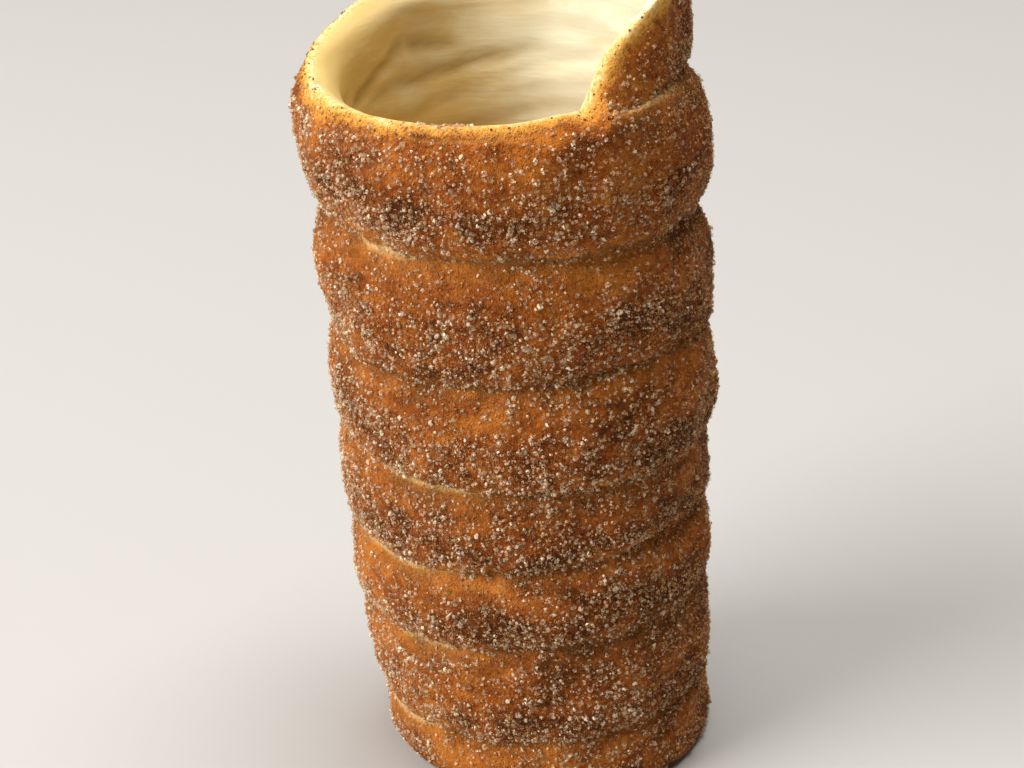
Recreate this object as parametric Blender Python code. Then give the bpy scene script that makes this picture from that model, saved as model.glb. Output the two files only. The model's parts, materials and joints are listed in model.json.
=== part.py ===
"""
Chimney cake: a tall open tube of baked dough, made of one flat strip wound as a
left-handed helix. Neighbouring turns have baked together, so it is one solid.

It stands on a flat bottom edge on z = 0, with -Y the front, +Z up and all sizes
in metres. A turn count n runs down the strip: n = 0 is the free rim at the front,
and each further turn goes once round by the right, the back and the left.
"""
import math
import random

import bmesh
import bpy
from mathutils import Euler, Matrix, Vector
from mathutils.bvhtree import BVHTree

MM = 0.001

# Each of these tables has one value a turn, in mm, from n = -1 down to n = 7.
# Height of the strip's upper edge at the front; n = -1 is where the rim would end
SEAM_FRONT = (176.5, 154.5, 126.0, 100.0, 75.6, 57.0, 38.2, 14.5, -6.0)
# How much higher that edge is at the right than at the left, halved
SEAM_TILT = (4.0, 6.4, 5.4, 7.0, 3.6, 7.2, 7.2, 6.5, 6.5)
# How much higher it is at the back than a straight tilt gives
SEAM_BOW = (7.0, 2.4, 1.5, 2.0, 2.0, 0.0, -0.5, 1.5, 1.5)
# Radius in the groove along that edge
SEAM_RADIUS = (39.4, 39.6, 39.4, 40.3, 40.1, 38.6, 38.2, 36.8, 35.4)
# Radius of the swelling below that edge
SWELL_RADIUS = (40.0, 43.8, 42.1, 42.2, 40.5, 40.6, 38.9, 37.3, 36.3)
# Sharpness of the grooves: a higher power gives a flatter band and a tighter groove
GROOVE_POWER = 2.8

# The strip's end: its width grows from nothing to full between these turn counts
TIP_TURN = -0.922
TIP_FULL_TURN = -0.775
# Heights over which the rim rounds over, outside and inside, and its top's setback
RIM_ROUND_OUT = 11.5 * MM
RIM_ROUND_IN = 5.5 * MM
RIM_INSET = 4.1 * MM

# The hollow is a slight cone, left by the baking spindle
BORE_RADIUS_FOOT = 28.6 * MM
BORE_RADIUS_TOP = 34.6 * MM
BORE_TOP_HEIGHT = 160.0 * MM

# The tube leans to its left: where its middle is, at every 30 mm of height
AXIS_X = (9.6, 6.9, 3.9, 2.9, 0.6, -2.6, -5.0)
AXIS_STEP = 30.0 * MM

# Rounding of the bottom edge, outside and inside
FOOT_ROUND_HEIGHT = 5.6 * MM
FOOT_ROUND_WIDTH = 4.0 * MM
FOOT_BREAK = 0.9 * MM

# Facets: steps round the tube, rows a turn, and steps on the rim and down the hollow
COLUMNS = 54
TIP_COLUMNS = 5
TIP_SPAN = (0.05, 0.15)
ROWS_PER_TURN = 5
BANDS = 8
RIM_STEPS = 4
BORE_STEPS = 10
FOOT_STEPS = 3

# Coarse sugar grains: number, edge length, how far apart, and how far they stand out
GRAIN_COUNT = 150
GRAIN_SIZE = (1.05 * MM, 1.65 * MM)
GRAIN_SPACING = 3.4 * MM
GRAIN_PROUD = 0.10
GRAIN_SEED = 31

CRUST_COLOUR = (0.42, 0.17, 0.045, 1.0)


def per_turn(values, turn):
    """Smooth curve through evenly spaced values, one a turn (Catmull-Rom), straight
    past both ends."""
    last = len(values) - 1
    if turn <= 0.0:
        return values[0] + (values[1] - values[0]) * turn
    if turn >= last:
        return values[last] + (values[last] - values[last - 1]) * (turn - last)
    i = int(turn)
    t = turn - i
    p1, p2 = values[i], values[min(i + 1, last)]
    p0 = values[i - 1] if i > 0 else 2.0 * p1 - p2
    p3 = values[i + 2] if i + 2 <= last else 2.0 * p2 - p1
    slope = p2 - p0
    square = 2.0 * p0 - 5.0 * p1 + 4.0 * p2 - p3
    cube = -p0 + 3.0 * p1 - 3.0 * p2 + p3
    return 0.5 * (2.0 * p1 + slope * t + square * t * t + cube * t * t * t)


def seam_height(turn):
    """Height of the strip's full upper edge at this turn count."""
    angle = 2.0 * math.pi * turn
    height = per_turn(SEAM_FRONT, turn + 1.0)
    height += per_turn(SEAM_TILT, turn + 1.0) * math.sin(angle)
    height += per_turn(SEAM_BOW, turn + 1.0) * 0.5 * (1.0 - math.cos(angle))
    return height * MM


def grown(turn):
    """How far the strip has grown to its full width from its free end, 0 to 1."""
    t = min(max((turn - TIP_TURN) / (TIP_FULL_TURN - TIP_TURN), 0.0), 1.0)
    return 1.0 - (1.0 - t) ** 2.2


def edge_height(turn):
    """Upper edge as baked: the free end of the strip tapers down to the turn below."""
    if turn >= 0.0:
        return seam_height(turn)
    below = seam_height(turn + 1.0)
    return below + grown(turn) * (seam_height(turn) - below)


def rim_height(u):
    """Top of the free rim, u being the part of a turn round from the front."""
    return edge_height(u - 1.0)


def bore_radius(z):
    return BORE_RADIUS_FOOT + (BORE_RADIUS_TOP - BORE_RADIUS_FOOT) * z / BORE_TOP_HEIGHT


def band_radius(u, z):
    """Radius of the wound strip: a swelling on each band, a groove along each seam.
    A seam fades out round the strip's end, where there is no turn above it."""
    for band in range(-1, BANDS - 1):
        turn = u + band
        top = edge_height(turn)
        bottom = seam_height(turn + 1.0)
        if z >= bottom or band == BANDS - 2:
            break
    width = top - bottom
    t = min(max((top - z) / width, 0.0), 1.0) if width > 0.05 * MM else 1.0
    high = per_turn(SEAM_RADIUS, turn + 1.0)
    low = per_turn(SEAM_RADIUS, turn + 2.0)
    swell = per_turn(SWELL_RADIUS, turn + 1.0)
    under = per_turn(SWELL_RADIUS, turn + 2.0)
    if t < 0.5:
        depth = (swell - high) * grown(turn - 1.0) ** 2
    else:
        seam = under + (low - under) * grown(turn) ** 2
        depth = swell - seam
    return (swell - depth * abs(2.0 * t - 1.0) ** GROOVE_POWER) * MM


def crest_radius(u):
    """Radius of the top line of the rim, between the hollow and the outside."""
    return bore_radius(rim_height(u)) + RIM_INSET


def outer_radius(u, z):
    """Radius of the outside, rounded over towards the crest of the rim."""
    radius = band_radius(u, z)
    up = (z - rim_height(u) + RIM_ROUND_OUT) / RIM_ROUND_OUT
    if up <= 0.0:
        return radius
    crest = crest_radius(u)
    return crest + (radius - crest) * math.sqrt(max(1.0 - up * up, 0.0))


def point(u, radius, z):
    """A point at this part of a turn, on the leaning axis."""
    angle = 2.0 * math.pi * u - 0.5 * math.pi
    x = per_turn(AXIS_X, z / AXIS_STEP) * MM + radius * math.cos(angle)
    return Vector((x, radius * math.sin(angle), z))


def section(u):
    """Closed section of the wall: down the outside, under the foot, up the hollow
    and over the rim. Rows past the rim or the foot fall together on one height."""
    top = rim_height(u)
    rows = []
    for band in range(-1, BANDS - 1):
        upper = edge_height(u + band)
        lower = seam_height(u + band + 1.0)
        for step in range(ROWS_PER_TURN):
            rows.append(upper + (lower - upper) * step / ROWS_PER_TURN)
    rows.append(lower)
    for step in range(1, RIM_STEPS + 1):
        angle = 0.5 * math.pi * step / (RIM_STEPS + 1)
        rows.append(top - RIM_ROUND_OUT * (1.0 - math.cos(angle)))
    points = []
    for z in sorted(rows, reverse=True):
        z = min(max(z, FOOT_ROUND_HEIGHT), top)
        points.append((outer_radius(u, z), z))
    foot = outer_radius(u, FOOT_ROUND_HEIGHT)
    for step in range(1, FOOT_STEPS + 1):
        angle = 0.5 * math.pi * step / FOOT_STEPS
        inward = FOOT_ROUND_WIDTH * (1.0 - math.cos(angle))
        points.append((foot - inward, FOOT_ROUND_HEIGHT * (1.0 - math.sin(angle))))
    points.append((bore_radius(0.0) + FOOT_BREAK, 0.0))
    mouth = top - RIM_ROUND_IN
    for step in range(BORE_STEPS + 1):
        z = FOOT_BREAK + (mouth - FOOT_BREAK) * step / BORE_STEPS
        points.append((bore_radius(z), z))
    inner = bore_radius(mouth)
    crest = crest_radius(u)
    for step in range(1, RIM_STEPS):
        angle = 0.5 * math.pi * step / RIM_STEPS
        radius = crest - (crest - inner) * math.cos(angle)
        points.append((radius, mouth + RIM_ROUND_IN * math.sin(angle)))
    return points


def column_turns():
    """Where the sections stand: evenly round, with more of them at the strip's end."""
    low, high = TIP_SPAN
    turns = [j / COLUMNS for j in range(COLUMNS)]
    turns = [u for u in turns if not low <= u <= high]
    count = TIP_COLUMNS + round((high - low) * COLUMNS)
    turns += [low + (high - low) * j / (count - 1) for j in range(count)]
    return sorted(turns)


def tube():
    """The wound tube. The last column meets the first one turn further along."""
    mesh = bpy.data.meshes.new("chimney_cake")
    work = bmesh.new()
    columns = []
    for u in column_turns():
        columns.append([work.verts.new(point(u, r, z)) for r, z in section(u)])
    strip_rows = BANDS * ROWS_PER_TURN + RIM_STEPS
    count = len(columns[0])
    for j, here in enumerate(columns):
        there = columns[(j + 1) % len(columns)]
        shift = ROWS_PER_TURN if j == len(columns) - 1 else 0
        for i in range(count):
            k = (i + 1) % count
            a, b = i, k
            if i <= strip_rows:
                a = min(i + shift, strip_rows)
            if k <= strip_rows:
                b = min(k + shift, strip_rows) if k else 0
            corners = [here[i], here[k], there[b], there[a]]
            if len(set(corners)) == 4:
                work.faces.new(corners)
            elif len(set(corners)) == 3:
                work.faces.new(list(dict.fromkeys(corners)))
    bmesh.ops.remove_doubles(work, verts=work.verts, dist=0.02 * MM)
    bmesh.ops.dissolve_degenerate(work, edges=work.edges, dist=0.002 * MM)
    bmesh.ops.triangulate(work, faces=work.faces, quad_method="SHORT_EDGE")
    bmesh.ops.recalc_face_normals(work, faces=work.faces)
    work.to_mesh(mesh)
    work.free()
    return bpy.data.objects.new("chimney_cake", mesh)


def grain_places(tree, draw):
    """Grain centres spread evenly over the crust: each try steps round by the golden
    angle and down by the golden ratio, and is kept if it is far enough from the rest."""
    golden = 0.5 * (math.sqrt(5.0) - 1.0)
    kept = []
    tries = 0
    while len(kept) < GRAIN_COUNT and tries < 40 * GRAIN_COUNT:
        tries += 1
        u = (tries * golden * golden) % 1.0
        top = rim_height(u) - 0.4 * RIM_ROUND_OUT
        z = 5.0 * MM + (top - 5.0 * MM) * ((tries * 0.7548776662) % 1.0)
        z += draw.uniform(-1.0, 1.0) * MM
        z = min(max(z, 5.0 * MM), top)
        start = point(u, 60.0 * MM, z)
        inward = (point(u, 0.0, z) - start).normalized()
        hit, normal, index, distance = tree.ray_cast(start, inward)
        if hit is None:
            continue
        if all((hit - other).length > GRAIN_SPACING for other, side in kept):
            kept.append((hit, normal))
    return kept


def grain(number, place, normal, size, draw):
    """One crystal: a block with unequal edges, turned at random, sunk in the crust."""
    edges = [size * draw.uniform(0.78, 1.0) for axis in range(3)]
    turn = Euler([draw.uniform(0.0, math.pi) for axis in range(3)]).to_matrix().to_4x4()
    centre = place + normal * size * GRAIN_PROUD
    work = bmesh.new()
    bmesh.ops.create_cube(work, size=1.0)
    scale = Matrix.Diagonal((edges[0], edges[1], edges[2], 1.0))
    bmesh.ops.transform(work, matrix=Matrix.Translation(centre) @ turn @ scale,
                        verts=work.verts)
    mesh = bpy.data.meshes.new("sugar_grain")
    work.to_mesh(mesh)
    work.free()
    return bpy.data.objects.new("sugar_grain_%03d" % number, mesh)


def add_grains(cake, cutters):
    """Fuse the sugar grains into the crust with one union, the largest placed first."""
    draw = random.Random(GRAIN_SEED)
    cake.data.calc_loop_triangles()
    corners = [v.co.copy() for v in cake.data.vertices]
    faces = [tuple(t.vertices) for t in cake.data.loop_triangles]
    tree = BVHTree.FromPolygons(corners, faces)
    places = grain_places(tree, draw)
    low, high = GRAIN_SIZE
    for number, (place, normal) in enumerate(places):
        part_way = number / max(len(places) - 1, 1)
        size = high + (low - high) * part_way
        cutters.objects.link(grain(number, place, normal, size, draw))
    union = cake.modifiers.new("sugar", "BOOLEAN")
    union.operation = "UNION"
    union.operand_type = "COLLECTION"
    union.collection = cutters
    union.solver = "EXACT"
    bpy.context.view_layer.objects.active = cake
    bpy.ops.object.modifier_apply(modifier=union.name)
    for extra in list(cutters.objects):
        bpy.data.objects.remove(extra)


def tidy_solid(cake):
    """Drop loose scraps, clean thin faces and put the foot's middle at the origin."""
    work = bmesh.new()
    work.from_mesh(cake.data)
    bmesh.ops.dissolve_degenerate(work, edges=work.edges, dist=0.004 * MM)
    bmesh.ops.triangulate(work, faces=work.faces)
    unseen = set(work.verts)
    shells = []
    while unseen:
        shell = [unseen.pop()]
        for vertex in shell:
            for edge in vertex.link_edges:
                other = edge.other_vert(vertex)
                if other in unseen:
                    unseen.remove(other)
                    shell.append(other)
        shells.append(shell)
    shells.sort(key=len)
    for shell in shells[:-1]:
        bmesh.ops.delete(work, geom=shell, context="VERTS")
    xs = [v.co.x for v in work.verts]
    ys = [v.co.y for v in work.verts]
    middle = Vector((0.5 * (min(xs) + max(xs)), 0.5 * (min(ys) + max(ys)), 0.0))
    bmesh.ops.translate(work, vec=-middle, verts=work.verts)
    work.to_mesh(cake.data)
    work.free()


def material(name, colour, roughness):
    made = bpy.data.materials.new(name)
    made.use_nodes = True
    shader = made.node_tree.nodes["Principled BSDF"]
    shader.inputs["Base Color"].default_value = colour
    shader.inputs["Roughness"].default_value = roughness
    made.diffuse_color = colour
    return made


def build():
    for thing in list(bpy.data.objects):
        bpy.data.objects.remove(thing)
    scene = bpy.context.scene
    parts = bpy.data.collections.new("chimney_cake")
    cutters = bpy.data.collections.new("sugar_grains")
    scene.collection.children.link(parts)
    scene.collection.children.link(cutters)
    cake = tube()
    cake.data.materials.append(material("sugared_crust", CRUST_COLOUR, 0.6))
    parts.objects.link(cake)
    add_grains(cake, cutters)
    tidy_solid(cake)


build()
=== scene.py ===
"""Looks of a chimney cake: a baked dough tube wound from one strip, with its sugar.

The dressed wall follows the same rules as the solid it stands for. A turn count n
runs down the strip: n = 0 is the free rim at the front, and each further turn goes
once round by the right, the back and the left. Heights and radii are in mm inside
the functions, and metres in the meshes.
"""
import json
import math
from collections import namedtuple

import bpy
import numpy as np
from bpy.props import FloatProperty, FloatVectorProperty, IntProperty, PointerProperty
from mathutils import Color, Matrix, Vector

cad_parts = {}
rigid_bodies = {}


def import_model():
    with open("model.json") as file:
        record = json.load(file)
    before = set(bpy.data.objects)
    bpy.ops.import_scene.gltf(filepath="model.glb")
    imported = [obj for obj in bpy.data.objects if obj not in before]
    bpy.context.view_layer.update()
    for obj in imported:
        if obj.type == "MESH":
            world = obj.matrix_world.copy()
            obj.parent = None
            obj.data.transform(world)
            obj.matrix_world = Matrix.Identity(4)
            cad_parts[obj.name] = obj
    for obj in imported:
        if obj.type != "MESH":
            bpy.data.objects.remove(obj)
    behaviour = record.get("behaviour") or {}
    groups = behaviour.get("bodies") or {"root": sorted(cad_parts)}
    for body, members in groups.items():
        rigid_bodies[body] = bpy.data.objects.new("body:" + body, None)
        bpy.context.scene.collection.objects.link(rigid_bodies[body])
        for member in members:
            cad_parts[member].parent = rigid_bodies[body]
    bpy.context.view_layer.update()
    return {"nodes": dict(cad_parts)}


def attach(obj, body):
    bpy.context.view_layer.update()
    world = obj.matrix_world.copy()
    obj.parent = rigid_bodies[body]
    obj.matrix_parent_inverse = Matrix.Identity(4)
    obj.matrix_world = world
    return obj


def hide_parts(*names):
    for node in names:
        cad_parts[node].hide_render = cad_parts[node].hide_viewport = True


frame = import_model()

bl_info = {
    "name": "Chimney Cake",
    "version": (1, 0, 0),
    "blender": (4, 5, 0),
    "location": "3D View > Sidebar > Chimney Cake",
    "description": "Baked dough tube wound from one strip, rolled in sugar and cinnamon",
    "category": "Object",
}

NODE = "chimney_cake"
MM_PER_METRE = 1000

# One value a turn, from n = -1 down: the strip's upper edge at the front, how much
# higher it is at the right than the left, halved, and how much higher at the back
SEAM_FRONT = (176.5, 154.5, 126.0, 100.0, 75.6, 57.0, 38.2, 14.5, -6.0)
SEAM_TILT = (4.0, 6.4, 5.4, 7.0, 3.6, 7.2, 7.2, 6.5, 6.5)
SEAM_BOW = (7.0, 2.4, 1.5, 2.0, 2.0, 0.0, -0.5, 1.5, 1.5)
# Radius in the groove along that edge, and of the swelling below it
SEAM_RADIUS = (39.4, 39.6, 39.4, 40.3, 40.1, 38.6, 38.2, 36.8, 35.4)
SWELL_RADIUS = (40.0, 43.8, 42.1, 42.2, 40.5, 40.6, 38.9, 37.3, 36.3)
GROOVE_POWER = 2.8
BANDS = 8

# Strip's free end: the turns where it starts and has its full width, how fast and how
# bluntly it widens, the least height over which the radius goes from turn to turn, and
# the turns between which the seam under it appears
TIP_TURN, TIP_FULL_TURN = -0.922, -0.775
TIP_POWER, TIP_BLUNTNESS = 2.2, 0.10
END_WIDTH = 8.0
SEAM_START, SEAM_FULL = TIP_TURN + 0.995, TIP_TURN + 1.035

# Heights of the rim's rounding outside and inside, and its crest's distance from the
# hollow; below them, how much less each is where the strip's end rounds off
RIM_ROUND_OUT, RIM_ROUND_IN, RIM_INSET = 11.5, 5.5, 4.1
END_ROUND_OUT, END_ROUND_IN, END_INSET = 6.0, 2.0, 2.2
# The lip at the left: how far it leans in, over what height, and how far its crest does
LIP_LEAN, LIP_HEIGHT, LIP_INSET = 2.3, 6.0, 1.2

# Stretches round the tube: the middle, and the reach to both sides, in parts of a turn
# from the front by the right. First those of the rim's shape
LEFT_LIP, END_ROLL, SECOND_LINE = (0.70, 0.26), (0.085, 0.08), (0.99, 0.10)
# Those of the browning: rim at the left and back, and crest and right of the strip's end
LEFT_RIM, BACK_RIM = (0.76, 0.24), (0.45, 0.25)
END_CREST, END_RIGHT = (0.105, 0.05), (0.19, 0.08)
# Those of the crust's and the crumb's tone: painted shade at the right and, partly a tan
# crumb, in the hollow; partly painted light on the strip's end
RIGHT_SIDE, LEFT_SIDE = (0.27, 0.2), (0.78, 0.19)
END_FACE, PAINTED_SHADE_IN_CRUMB = (0.12, 0.09), (0.80, 0.42)
# Those of the sugar and cinnamon, and of the painted shade that browns the crystals at the
# right
FRONT_SUGAR, CREST_CLUMP = (0.90, 0.12), (0.955, 0.04)
RIGHT_SUGAR_PAINTED_SHADE, RIM_SPECKS = (0.25, 0.21), (0.76, 0.22)

# Browning across the rim: where it starts, less than 0 inside the crest, and its width;
# then a stretch, and how much its start and width change there
BROWNING_START, BROWNING_WIDTH = -2.4, 6.6
# On the strip's end crest the golden zone is wider, partly painted light on its roll
BROWNING_CHANGES = ((LEFT_RIM, -0.5, 4.4), (BACK_RIM, -0.5, 1.8), (END_CREST, -1.1, 4.6),
                    (END_RIGHT, 1.4, 2.5))
# Turns over which the strip's end comes to cover the turn below it
COVER_START, COVER_FULL = 0.078, 0.10
# Crust darker than usual low down, and at the right as painted shade; lighter low at the
# left, on the strip's end (partly painted light) and beside the rim
FOOT_DARK, RIGHT_PAINTED_SHADE, LEFT_LIGHT, END_LIGHTER_AND_PAINTED_LIGHT, RIM_LIGHT = 0.14, 0.32, 0.36, 0.40, 0.26

# Random fields over the surface: wavelength, number of waves, seed and strength
BROAD_LUMPS, SMALL_LUMPS = (19.0, 26, 3, 0.34), (7.5, 36, 5, 0.15)
PITS, WOBBLE = (2.6, 60, 8, 0.075), (9.0, 24, 11, 0.35)
CRUMB_PULLS, CRUMB_SWELLS = (24.0, 40, 21, 0.16), (17.0, 24, 23, 0.25)
BAND_WANDER = (34.0, 24, 31, 0.75)
SUGAR_DRIFTS, SUGAR_CLUMPS = (15.0, 30, 41, 0.34), (3.6, 40, 43, 0.45)

# Relief: the crease's half width and its depth in the hollow, the ledge by which one turn
# stands off the next and that of the strip's end, and the thin line beside the rim
CREASE_WIDTH, HOLLOW_CREASE = 0.85, 0.4
LEDGE_WIDTH, LEDGE, END_LEDGE = 2.2, 0.30, 0.55
LINE_PLACE, LINE_WANDER, LINE_WIDTH, LINE_DEPTH = 3.6, 0.4, 0.45, 0.3
FOLD_WIDTH, FOLD_DEPTH, CRUMB_STRETCH = 1.6, 0.9, 4.5
# Grains of dust drawn in the crust, and the height of its finest grit, in metres
DUST_SIZE, GRIT_HEIGHT = 0.00047, 0.00055
# Height over which the relief grows away from the crest, and how far the crust lies
# inside the solid, which leaves room for the sugar
CREST_CALM, SUGAR_ROOM = 4.5, 0.75
# Heights over which sugar and specks begin above the floor
SUGAR_START, SUGAR_FULL = 1.0, 3.5

# Grid rows round the foot, across its flat, up the deep hollow and over the inner rim,
# and the depth of the mouth that has the finer rows
FOOT_ROWS, FLAT_ROWS, DEEP_ROWS, LIP_ROWS, MOUTH_DEPTH = 9, 4, 14, 15, 50.0

# Stage: camera in metres and degrees, the soft square lights with place and edge in
# metres, the point they face, the surrounding light and half of the floor's edge
CAMERA_PLACE, CAMERA_TILT = (-0.0006, -0.487, 0.300), 66.0
LIGHTS = (("key", (-1.75, -0.79, 1.75), 1.6, (1.0, 0.975, 0.94)),
          ("top", (0.20, 0.25, 2.50), 1.4, (1.0, 0.985, 0.96)),
          ("fill", (-1.90, -1.00, 0.80), 1.3, (1.0, 0.99, 0.97)))
LIT_POINT = (0.0, 0.0, 0.1)
SKY_COLOUR = (1.0, 0.88, 0.70)
FLOOR_HALF = 3.0

# Where a seam shows a pale lens of unbrowned dough: turn, half length in turns, strength
PALE_SEAMS = ((0.13, 0.075, 0.80), (0.890, 0.045, 0.85), (1.05, 0.12, 0.42),
              (2.91, 0.060, 0.85), (3.85, 0.10, 0.78), (4.88, 0.06, 0.80), (5.81, 0.09, 1.0))

# Soft folds seen in the mouth: part of a turn and height where each starts, the same
# where it ends, and its strength
MOUTH_FOLDS = ((0.690, 141.5, 0.600, 151.5, 0.9), (0.600, 151.0, 0.540, 150.0, 0.7),
               (0.665, 140.7, 0.465, 148.7, 1.0), (0.62, 128.0, 0.44, 137.0, 0.5))

# Conical hollow, leaning axis at every 30 mm of height, and the rounded foot
BORE_FOOT, BORE_TOP, BORE_TOP_HEIGHT = 28.6, 34.6, 160.0
AXIS_X = (9.6, 6.9, 3.9, 2.9, 0.6, -2.6, -5.0)
AXIS_STEP = 30.0
FOOT_ROUND_HEIGHT, FOOT_ROUND_WIDTH, FOOT_BREAK = 5.6, 4.0, 0.9


# Shape of the wound strip

def per_turn(values, turn):
    """Catmull-Rom curve through evenly spaced values, straight past both ends."""
    values = np.asarray(values, float)
    turn = np.asarray(turn, float)
    last = len(values) - 1
    i = np.clip(np.floor(turn).astype(int), 0, last - 1)
    t = turn - i
    here, after = values[i], values[i + 1]
    before = np.where(i > 0, values[np.maximum(i - 1, 0)], 2 * here - after)
    beyond = np.where(i + 2 <= last, values[np.minimum(i + 2, last)], 2 * after - here)
    cube = -before + 3 * here - 3 * after + beyond
    square = 2 * before - 5 * here + 4 * after - beyond
    curve = 0.5 * (2 * here + (after - before) * t + square * t ** 2 + cube * t ** 3)
    curve = np.where(turn <= 0, values[0] + (values[1] - values[0]) * turn, curve)
    end_slope = values[last] - values[last - 1]
    return np.where(turn >= last, values[last] + end_slope * (turn - last), curve)


def smooth(x, low, high):
    """0 below low, 1 above high, and 3t^2 - 2t^3 between."""
    t = np.clip((x - low) / (high - low), 0, 1)
    return t * t * (3 - 2 * t)


def seam_height(turn):
    """Front height, plus tilt times sin(2 pi n), plus bow times (1 - cos(2 pi n)) / 2."""
    angle = 2 * np.pi * turn
    tilt = per_turn(SEAM_TILT, turn + 1) * np.sin(angle)
    bow = per_turn(SEAM_BOW, turn + 1) * 0.5 * (1 - np.cos(angle))
    return per_turn(SEAM_FRONT, turn + 1) + tilt + bow


def grown(turn):
    """Share of the strip's full width: 1 - (1 - t)^2.2 over the length of its end, plus
    a small smooth bump soon after its start, which makes the end blunt."""
    t = np.clip((turn - TIP_TURN) / (TIP_FULL_TURN - TIP_TURN), 0, 1)
    blunt = TIP_BLUNTNESS * smooth(t, 0.0, 0.16) * (1 - smooth(t, 0.16, 0.6))
    return 1 - (1 - t) ** TIP_POWER + blunt


def edge_height(turn):
    """Upper edge as baked, tapering down to the turn below at the strip's end."""
    full = seam_height(turn)
    below = seam_height(turn + 1)
    return np.where(turn >= 0, full, below + grown(turn) * (full - below))


def bore_radius(z):
    """Cone of the hollow: from the foot's radius to the top's in proportion to height."""
    return BORE_FOOT + (BORE_TOP - BORE_FOOT) * z / BORE_TOP_HEIGHT


class Wound:
    """The wound strip at part-of-a-turn u and height z, both arrays of one shape.

    radius: swelling minus depth times |2t - 1|^2.8, where t runs down each band from
    0 to 1; where the strip's end is narrower than END_WIDTH it starts above 0.
    t: place in the band, 0 at its upper edge. turn: its turn count. gap: about the
    height under the nearest seam, less than 0 over it, as width times sin(2 pi t) / 2 pi.
    near: height from the nearest seam, which lies at turn line. seam: how far that
    seam is there, 0 to 1, full soon after the strip's end.
    """

    def __init__(self, u, z):
        """Go down the bands, each taking the points that lie between its two seams."""
        self.radius = np.zeros_like(z)
        self.t = np.zeros_like(z)
        self.turn = np.zeros_like(z)
        self.near = np.full_like(z, 99.0)
        self.seam = np.zeros_like(z)
        self.line = np.zeros_like(z)
        self.gap = np.zeros_like(z)
        found = np.zeros(z.shape, bool)
        for band in range(-1, BANDS - 1):
            turn = u + band
            top, bottom = edge_height(turn), seam_height(turn + 1)
            here = ~found & ((z >= bottom) | (band == BANDS - 2))
            found |= here
            width = np.maximum(top - bottom, END_WIDTH)
            t = np.clip(1 - (z - bottom) / width, 0, 1)
            high = per_turn(SEAM_RADIUS, turn + 1)
            low = per_turn(SEAM_RADIUS, turn + 2)
            swell = per_turn(SWELL_RADIUS, turn + 1)
            under = per_turn(SWELL_RADIUS, turn + 2)
            above_here = grown(turn - 1) ** 2
            self_here = grown(turn) ** 2
            depth = np.where(t < 0.5, (swell - high) * above_here,
                             swell - under - (low - under) * self_here)
            radius = swell - depth * np.abs(2 * t - 1) ** GROOVE_POWER
            gap = width * np.sin(2 * np.pi * t) / (2 * np.pi)
            for array, value in ((self.radius, radius), (self.t, t), (self.turn, turn),
                                 (self.gap, gap)):
                array[here] = np.broadcast_to(value, z.shape)[here]
            for closer, off, line in ((here & (t < 0.5), top - z, turn),
                                      (here & (t >= 0.5), z - bottom, turn + 1)):
                seam = smooth(line, SEAM_START, SEAM_FULL)
                for array, value in ((self.near, off), (self.line, line), (self.seam, seam)):
                    array[closer] = np.broadcast_to(value, z.shape)[closer]


def waves(points, size, count, seed, strength):
    """Soft random field of about this strength: a sum of sine waves in random
    directions, with wavelengths near size."""
    draw = np.random.default_rng(seed)
    total = np.zeros(points.shape[:-1])
    for _ in range(count):
        way = draw.normal(size=3)
        way *= 2 * np.pi / (np.linalg.norm(way) * size * draw.uniform(0.7, 1.5))
        total += np.sin(points @ way + draw.uniform(0, 2 * np.pi))
    return total * math.sqrt(2 / count) * strength


def foot_middle():
    """Middle of the CAD solid's flat foot, in mm, so the wall stands on the same spot."""
    mesh = frame["nodes"][NODE].data
    points = np.zeros(len(mesh.vertices) * 3, np.float32)
    mesh.vertices.foreach_get("co", points)
    points = points.reshape(-1, 3) * MM_PER_METRE
    ring = points[points[:, 2] < 0.01]
    return 0.5 * (ring.min(0) + ring.max(0))


def around(u, middle, reach):
    """1 at the middle of a stretch, falling smoothly to 0 at its reach on both sides."""
    off = np.abs((u - middle + 0.5) % 1.0 - 0.5)
    return 1 - smooth(off, 0.0, reach)


def mouth_folds(u, z):
    """1 along each fold's line and 0 away from it: a Gaussian across the line and a
    smooth fade at both its ends."""
    total = np.zeros_like(z)
    for u0, z0, u1, z1, strength in MOUTH_FOLDS:
        t = (u - u0) / (u1 - u0)
        across = z - (z0 + (z1 - z0) * t)
        fade = smooth(t, -0.15, 0.2) * (1 - smooth(t, 0.75, 1.2))
        total = np.maximum(total, strength * fade * np.exp(-(across / FOLD_WIDTH) ** 2))
    return total


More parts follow.
